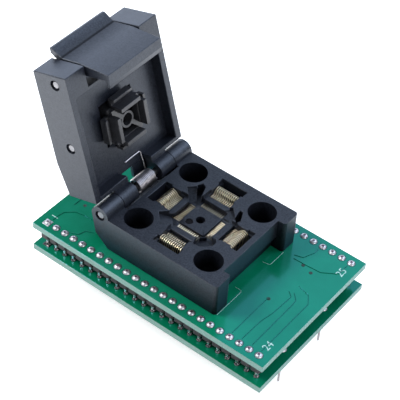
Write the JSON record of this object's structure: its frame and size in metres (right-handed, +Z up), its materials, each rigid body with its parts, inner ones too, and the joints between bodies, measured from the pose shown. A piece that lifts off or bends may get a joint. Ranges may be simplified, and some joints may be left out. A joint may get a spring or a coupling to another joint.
{
  "type": "ic programming adapter",
  "caption": "Clamshell test socket with a sprung lid, latch and pressure pad, on two stacked boards with two rows of round plug-in pins.",
  "frame": {"origin": "centre of the two rows of round pins, on the plane of their tips, on which the part stands", "axes": "+X along the rows from pin 1 to pin 24 and from hinge to latch, +Y from the front row to the back row, +Z up, away from the pins"},
  "size_m": [0.0676, 0.0386, 0.0595],
  "materials": {
    "green_board": "glass-fibre board with glossy green solder mask",
    "strip_plastic": "moulded, dark",
    "tinned_pin": "tin-plated, satin",
    "solder": "smooth solder, slightly pink grey",
    "socket_plastic": "moulded, fine satin, blue-black",
    "pad_plastic": "moulded, satin, blue-black",
    "gold_contact": "thin gold plate, bright",
    "steel_pin": "ground steel, bright ends",
    "spring_wire": "drawn spring wire"
  },
  "bodies": {
    "base": {"lower_board": "green_board", "upper_board": "green_board", "header_strip_front": "strip_plastic", "header_strip_back": "strip_plastic", "dip_strip_front": "strip_plastic", "dip_strip_back": "strip_plastic", "header_pins_front": "tinned_pin", "header_pins_back": "tinned_pin", "dip_pins_front": "tinned_pin", "dip_pins_back": "tinned_pin", "solder_joints_front": "solder", "solder_joints_back": "solder", "socket_base": "socket_plastic", "contacts_front": "gold_contact", "contacts_back": "gold_contact", "contacts_hinge_side": "gold_contact", "contacts_latch_side": "gold_contact", "hinge_pin": "steel_pin", "hinge_spring": "spring_wire"},
    "lid_assembly": {"lid": "socket_plastic", "latch_pin": "steel_pin", "pad_pin": "steel_pin", "latch_spring": "spring_wire"},
    "latch": {"latch_lever": "socket_plastic"},
    "pad": {"pressure_pad": "pad_plastic"}
  },
  "joints": [
    {"name": "lid_hinge", "type": "hinge", "parent": "base", "child": "lid_assembly", "pos_m": [-0.01627, 0, 0.02618], "axis": [0, 1, 0], "range_deg": [0, 106.4], "stiffness_Nm_per_rad": 0.004, "springref_deg": -34.38, "deforming": ["hinge_spring"]},
    {"name": "latch_pivot", "type": "hinge", "parent": "lid_assembly", "child": "latch", "pos_m": [-0.02873, 0, 0.05577], "axis": [0, 1, 0], "range_deg": [-15, 0], "stiffness_Nm_per_rad": 0.003, "springref_deg": 17.19, "deforming": ["latch_spring"]},
    {"name": "pad_tilt", "type": "hinge", "parent": "lid_assembly", "child": "pad", "pos_m": [-0.02451, 0, 0.04072], "axis": [0, 1, 0], "range_deg": [-6, 0]}
  ]
}
